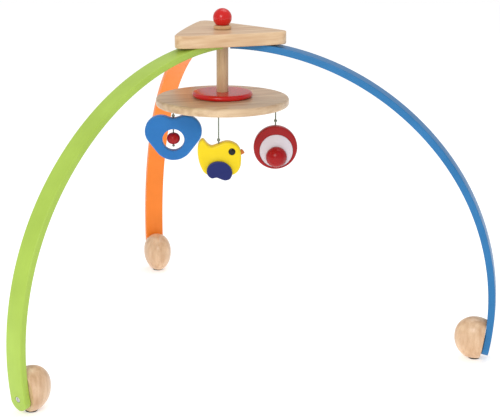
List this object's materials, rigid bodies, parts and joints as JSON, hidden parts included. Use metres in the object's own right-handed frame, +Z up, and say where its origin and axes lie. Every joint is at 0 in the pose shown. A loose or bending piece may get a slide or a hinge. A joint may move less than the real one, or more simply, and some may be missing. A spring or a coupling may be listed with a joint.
{
  "type": "crib mobile",
  "caption": "Free-standing wooden tripod mobile: bent legs under a top plate, with a turning disc that carries hanging toys on short cords.",
  "frame": {"origin": "centre of the bounding box at floor level; the turning axis is at y = -0.0826", "axes": "+Z up; +Y towards the orange leg; +X towards the side of the blue leg, along the longest extent"},
  "size_m": [0.6218, 0.5391, 0.436],
  "materials": {
    "plate_wood": "clear satin lacquer on solid wood",
    "disc_wood": "clear satin lacquer on solid wood",
    "knob_wood": "clear satin lacquer on shaped wood",
    "dowel_wood": "clear satin lacquer on a dowel",
    "foot_wood": "clear satin lacquer on turned wood",
    "green_paint": "satin paint on bent plywood",
    "orange_paint": "satin paint on bent plywood",
    "blue_paint": "satin paint on bent plywood",
    "heart_paint": "satin paint on wood",
    "red_paint": "gloss paint on turned wood",
    "yellow_paint": "satin paint on wood",
    "navy_paint": "satin paint on wood",
    "white_paint": "satin paint on wood",
    "beak_paint": "satin paint on wood",
    "eye_black": "gloss",
    "cord_fibre": "twisted cotton cord",
    "rubber_pad": "matt",
    "screw_steel": "zinc plated"
  },
  "bodies": {
    "frame": {"top_plate": "plate_wood", "leg_orange": "orange_paint", "leg_green": "green_paint", "leg_blue": "blue_paint", "leg_screw_orange_1": "screw_steel", "leg_screw_orange_2": "screw_steel", "leg_screw_green_1": "screw_steel", "leg_screw_green_2": "screw_steel", "leg_screw_blue_1": "screw_steel", "leg_screw_blue_2": "screw_steel", "foot_orange": "foot_wood", "foot_green": "foot_wood", "foot_blue": "foot_wood", "foot_screw_orange": "screw_steel", "foot_screw_green": "screw_steel", "foot_screw_blue": "screw_steel", "pad_orange": "rubber_pad", "pad_green": "rubber_pad", "pad_blue": "rubber_pad"},
    "spindle": {"knob_ball": "red_paint", "knob_collar": "knob_wood", "spindle_dowel": "dowel_wood", "hub_disc": "red_paint", "carousel_disc": "disc_wood", "spindle_screw": "screw_steel", "heart_cord_end": "cord_fibre", "bird_cord_end": "cord_fibre", "ring_cord_end": "cord_fibre"},
    "heart_string": {"heart_cord": "cord_fibre"},
    "heart_tie": {"heart_knot": "cord_fibre"},
    "heart": {"heart_body": "heart_paint", "heart_bead_cord": "cord_fibre", "heart_end_knot": "cord_fibre"},
    "bead": {"heart_bead": "red_paint"},
    "bird_string": {"bird_cord": "cord_fibre"},
    "bird_tie": {"bird_knot": "cord_fibre"},
    "bird": {"bird_body": "yellow_paint", "bird_wing_front": "navy_paint", "bird_wing_back": "navy_paint", "bird_eye_front": "eye_black", "bird_eye_back": "eye_black", "bird_beak": "beak_paint"},
    "ring_string": {"ring_cord": "cord_fibre"},
    "ring_tie": {"ring_knot": "cord_fibre"},
    "ring": {"ring_body": "red_paint", "ring_inlay_front": "white_paint", "ring_inlay_back": "white_paint", "ring_dome_front": "red_paint", "ring_dome_back": "red_paint"}
  },
  "joints": [
    {"name": "spindle_spin", "type": "hinge", "parent": "frame", "child": "spindle", "pos_m": [0, -0.08256, 0.36], "axis": [0, 0, 1], "continuous": true},
    {"name": "heart_swing", "type": "hinge", "parent": "spindle", "child": "heart_string", "pos_m": [-0.04814, -0.02311, 0.3202], "axis": [0.2924, 0.9563, 0], "range_deg": [-25, 25]},
    {"name": "heart_rock", "type": "hinge", "parent": "heart_string", "child": "heart_tie", "pos_m": [-0.04814, -0.02311, 0.2912], "axis": [0.9563, -0.2924, 0], "range_deg": [-25, 25]},
    {"name": "heart_twist", "type": "hinge", "parent": "heart_tie", "child": "heart", "pos_m": [-0.04814, -0.02311, 0.26], "axis": [0, 0, 1], "continuous": true},
    {"name": "bead_spin", "type": "hinge", "parent": "heart", "child": "bead", "pos_m": [-0.04814, -0.02311, 0.2612], "axis": [0, 0, 1], "continuous": true},
    {"name": "bird_swing", "type": "hinge", "parent": "spindle", "child": "bird_string", "pos_m": [-0.02741, -0.15398, 0.3202], "axis": [0.2924, 0.9563, 0], "range_deg": [-25, 25]},
    {"name": "bird_rock", "type": "hinge", "parent": "bird_string", "child": "bird_tie", "pos_m": [-0.02741, -0.15398, 0.285], "axis": [0.9563, -0.2924, 0], "range_deg": [-25, 25]},
    {"name": "bird_twist", "type": "hinge", "parent": "bird_tie", "child": "bird", "pos_m": [-0.02741, -0.15398, 0.26], "axis": [0, 0, 1], "continuous": true},
    {"name": "ring_swing", "type": "hinge", "parent": "spindle", "child": "ring_string", "pos_m": [0.07556, -0.07059, 0.3202], "axis": [0.2924, 0.9563, 0], "range_deg": [-25, 25]},
    {"name": "ring_rock", "type": "hinge", "parent": "ring_string", "child": "ring_tie", "pos_m": [0.07556, -0.07059, 0.2862], "axis": [0.9563, -0.2924, 0], "range_deg": [-25, 25]},
    {"name": "ring_twist", "type": "hinge", "parent": "ring_tie", "child": "ring", "pos_m": [0.07556, -0.07059, 0.25], "axis": [0, 0, 1], "continuous": true}
  ]
}
